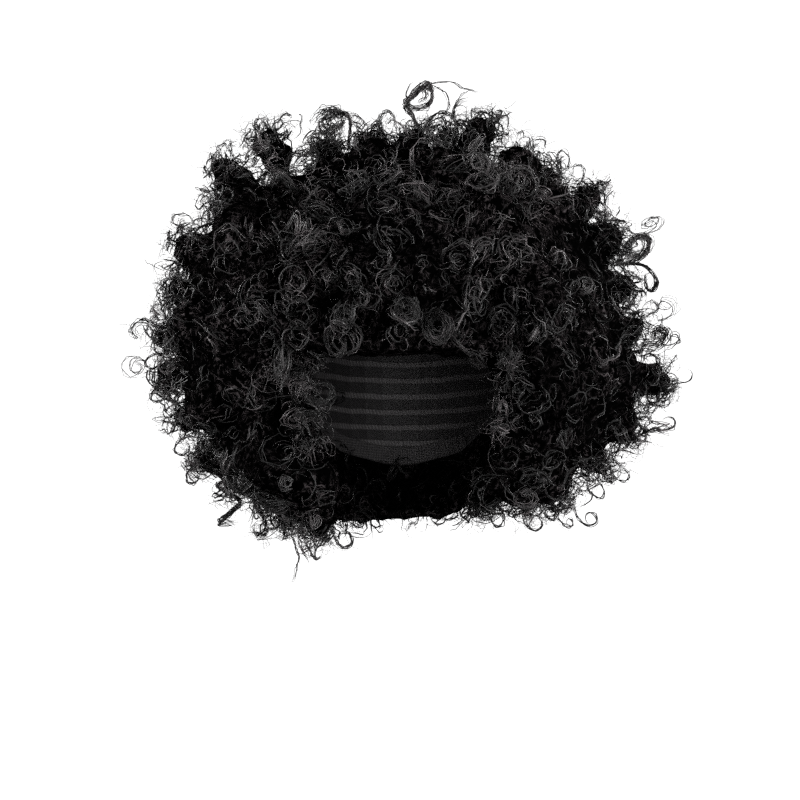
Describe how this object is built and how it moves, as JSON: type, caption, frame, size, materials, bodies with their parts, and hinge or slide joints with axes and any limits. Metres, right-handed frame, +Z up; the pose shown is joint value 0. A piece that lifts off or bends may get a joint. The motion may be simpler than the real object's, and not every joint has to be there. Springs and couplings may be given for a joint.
{
  "type": "curly afro wig",
  "caption": "Round black afro wig: a stretch cap with an elastic edge, and a thick mass of tight springy curls that leaves the face open.",
  "frame": {"origin": "where the crown of the head meets the inside of the cap", "axes": "+Z up, -Y the way the wearer looks, +X the wearer's left"},
  "size_m": [0.4263, 0.3442, 0.3796],
  "materials": {
    "hair": "black synthetic hair fibre, soft gloss",
    "cap_net": "black stretch net, matt",
    "elastic": "black woven elastic, matt"
  },
  "bodies": {
    "root": {"wig_cap": "cap_net", "cap_edge_band": "elastic", "hair_crown": "hair", "hair_fringe": "hair", "hair_left_side": "hair", "hair_right_side": "hair", "hair_back": "hair", "hair_nape": "hair"}
  },
  "joints": []
}
